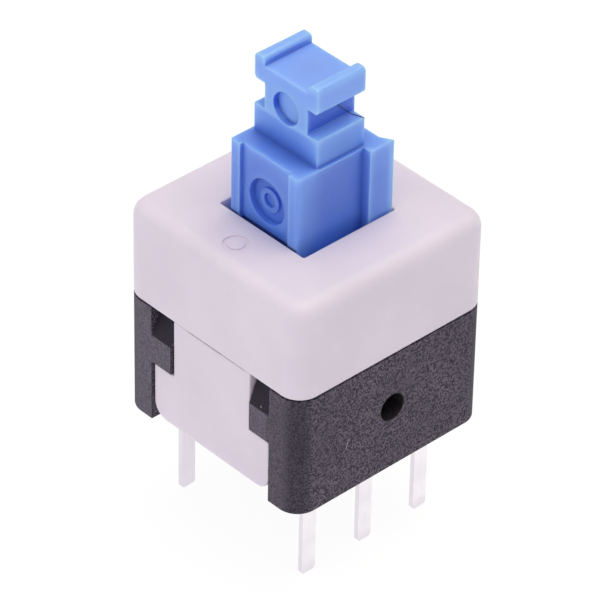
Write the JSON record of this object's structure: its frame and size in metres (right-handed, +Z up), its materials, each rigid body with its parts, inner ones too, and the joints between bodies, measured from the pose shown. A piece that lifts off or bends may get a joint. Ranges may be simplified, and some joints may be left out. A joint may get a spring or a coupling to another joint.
{
  "type": "momentary push switch",
  "caption": "Square six-leg momentary push switch: black moulded base, white cover held by two snap skirts and a blue stepped push stem that springs back.",
  "frame": {"origin": "centre of the body on the underside of the base, the face that sits on a circuit board", "axes": "+Z up along the push stem, X along the two rows of legs, the wall with the round hole looks to -Y"},
  "size_m": [0.0084, 0.0084, 0.0178],
  "materials": {
    "cover_plastic": "satin moulded",
    "base_plastic": "fine-grained moulded",
    "stem_plastic": "waxy moulded",
    "tinned_leg": "bright tinned",
    "clip_bronze": "plain strip",
    "spring_steel": "drawn wire"
  },
  "bodies": {
    "body": {"cover": "cover_plastic", "base": "base_plastic", "return_spring": "spring_steel", "terminal_front_closed": "tinned_leg", "terminal_front_common": "tinned_leg", "terminal_front_open": "tinned_leg", "terminal_rear_closed": "tinned_leg", "terminal_rear_common": "tinned_leg", "terminal_rear_open": "tinned_leg"},
    "stem": {"plunger": "stem_plastic", "clip_front": "clip_bronze", "clip_rear": "clip_bronze"}
  },
  "joints": [
    {"name": "stem_push", "type": "slide", "parent": "body", "child": "stem", "axis": [0, 0, -1], "range_m": [0, 0.002], "stiffness_N_per_m": 500, "springref_m": -0.0015, "deforming": ["return_spring"]}
  ]
}
